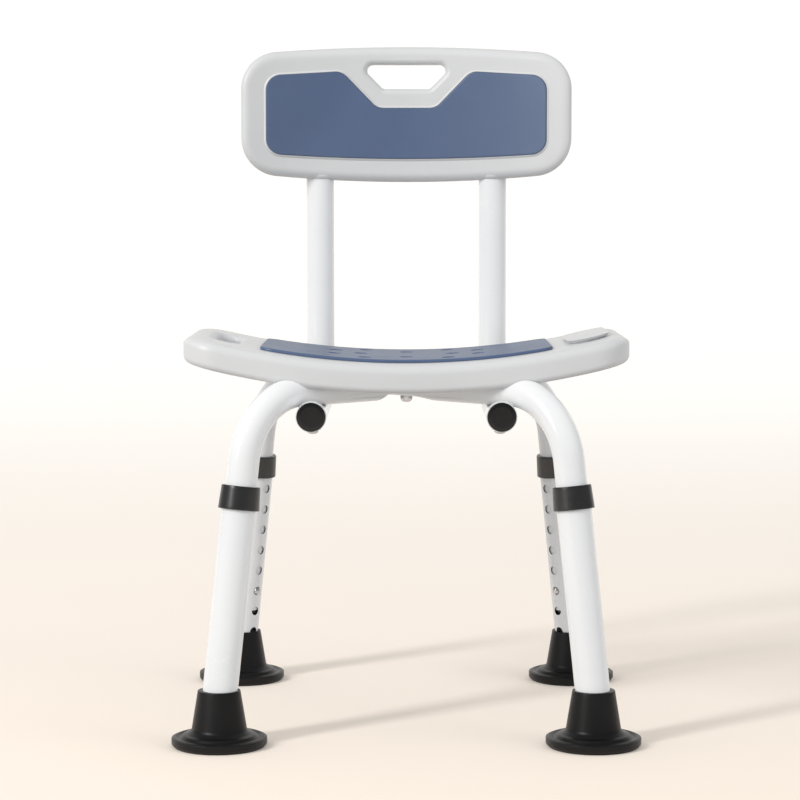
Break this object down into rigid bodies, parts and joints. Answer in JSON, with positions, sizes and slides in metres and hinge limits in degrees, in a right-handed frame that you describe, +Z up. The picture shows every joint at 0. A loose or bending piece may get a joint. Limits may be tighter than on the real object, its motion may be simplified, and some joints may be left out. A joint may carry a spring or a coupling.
{
  "type": "shower stool",
  "caption": "Shower stool with a dished drained seat, a low padded backrest with a hand hole, and telescopic splayed legs on wide rubber feet.",
  "frame": {"origin": "on the floor, under the middle of the four rubber feet", "axes": "+Z up; +Y towards the back, where the backrest stands; +X to the right as seen from the front"},
  "size_m": [0.467, 0.443, 0.7082],
  "materials": {
    "white_plastic": "satin, fine moulded texture",
    "blue_foam": "matt closed-cell foam",
    "white_tube": "glossy white powder coat",
    "black_rubber": "matt",
    "black_plastic": "semi-gloss",
    "zinc_steel": "bright zinc plate",
    "brass": "turned"
  },
  "bodies": {
    "frame": {"seat_shell": "white_plastic", "seat_pad": "blue_foam", "back_panel": "white_plastic", "back_pad": "blue_foam", "cross_tube_upper": "white_tube", "cross_tube_lower": "white_tube", "back_tube_left": "white_tube", "back_tube_right": "white_tube", "back_tube_plug_left": "black_plastic", "back_tube_plug_right": "black_plastic", "centre_screw": "zinc_steel", "centre_insert": "brass", "panel_screw_left": "zinc_steel", "panel_screw_right": "zinc_steel", "frame_screw_front_left": "zinc_steel", "frame_screw_front_right": "zinc_steel", "frame_screw_rear_left": "zinc_steel", "frame_screw_rear_right": "zinc_steel", "seat_insert_front_left": "brass", "seat_insert_front_right": "brass", "seat_insert_rear_left": "brass", "seat_insert_rear_right": "brass", "tube_glide_front_left": "black_plastic", "tube_glide_front_right": "black_plastic", "tube_glide_rear_left": "black_plastic", "tube_glide_rear_right": "black_plastic", "spring_clip_front_left": "zinc_steel", "spring_clip_front_right": "zinc_steel", "spring_clip_rear_left": "zinc_steel", "spring_clip_rear_right": "zinc_steel"},
    "leg_front_left": {"leg_tube_front_left": "white_tube", "leg_collar_front_left": "black_plastic", "rubber_foot_front_left": "black_rubber", "foot_washer_front_left": "zinc_steel"},
    "button_front_left": {"snap_button_front_left": "zinc_steel"},
    "leg_front_right": {"leg_tube_front_right": "white_tube", "leg_collar_front_right": "black_plastic", "rubber_foot_front_right": "black_rubber", "foot_washer_front_right": "zinc_steel"},
    "button_front_right": {"snap_button_front_right": "zinc_steel"},
    "leg_rear_left": {"leg_tube_rear_left": "white_tube", "leg_collar_rear_left": "black_plastic", "rubber_foot_rear_left": "black_rubber", "foot_washer_rear_left": "zinc_steel"},
    "button_rear_left": {"snap_button_rear_left": "zinc_steel"},
    "leg_rear_right": {"leg_tube_rear_right": "white_tube", "leg_collar_rear_right": "black_plastic", "rubber_foot_rear_right": "black_rubber", "foot_washer_rear_right": "zinc_steel"},
    "button_rear_right": {"snap_button_rear_right": "zinc_steel"}
  },
  "joints": [
    {"name": "leg_extend_front_left", "type": "slide", "parent": "frame", "child": "leg_front_left", "axis": [-0.1005, -0.0941, -0.9905], "range_m": [-0.02347, 0.11735]},
    {"name": "button_press_front_left", "type": "slide", "parent": "frame", "child": "button_front_left", "axis": [-0.7233, -0.6767, 0.1377], "range_m": [0, 0.0048], "stiffness_N_per_m": 2000, "deforming": ["spring_clip_front_left"]},
    {"name": "leg_extend_front_right", "type": "slide", "parent": "frame", "child": "leg_front_right", "axis": [0.1005, -0.0941, -0.9905], "range_m": [-0.02347, 0.11735]},
    {"name": "button_press_front_right", "type": "slide", "parent": "frame", "child": "button_front_right", "axis": [0.7233, -0.6767, 0.1377], "range_m": [0, 0.0048], "stiffness_N_per_m": 2000, "deforming": ["spring_clip_front_right"]},
    {"name": "leg_extend_rear_left", "type": "slide", "parent": "frame", "child": "leg_rear_left", "axis": [-0.1005, 0.0941, -0.9905], "range_m": [-0.02347, 0.11735]},
    {"name": "button_press_rear_left", "type": "slide", "parent": "frame", "child": "button_rear_left", "axis": [-0.7233, 0.6767, 0.1377], "range_m": [0, 0.0048], "stiffness_N_per_m": 2000, "deforming": ["spring_clip_rear_left"]},
    {"name": "leg_extend_rear_right", "type": "slide", "parent": "frame", "child": "leg_rear_right", "axis": [0.1005, 0.0941, -0.9905], "range_m": [-0.02347, 0.11735]},
    {"name": "button_press_rear_right", "type": "slide", "parent": "frame", "child": "button_rear_right", "axis": [0.7233, 0.6767, 0.1377], "range_m": [0, 0.0048], "stiffness_N_per_m": 2000, "deforming": ["spring_clip_rear_right"]}
  ]
}
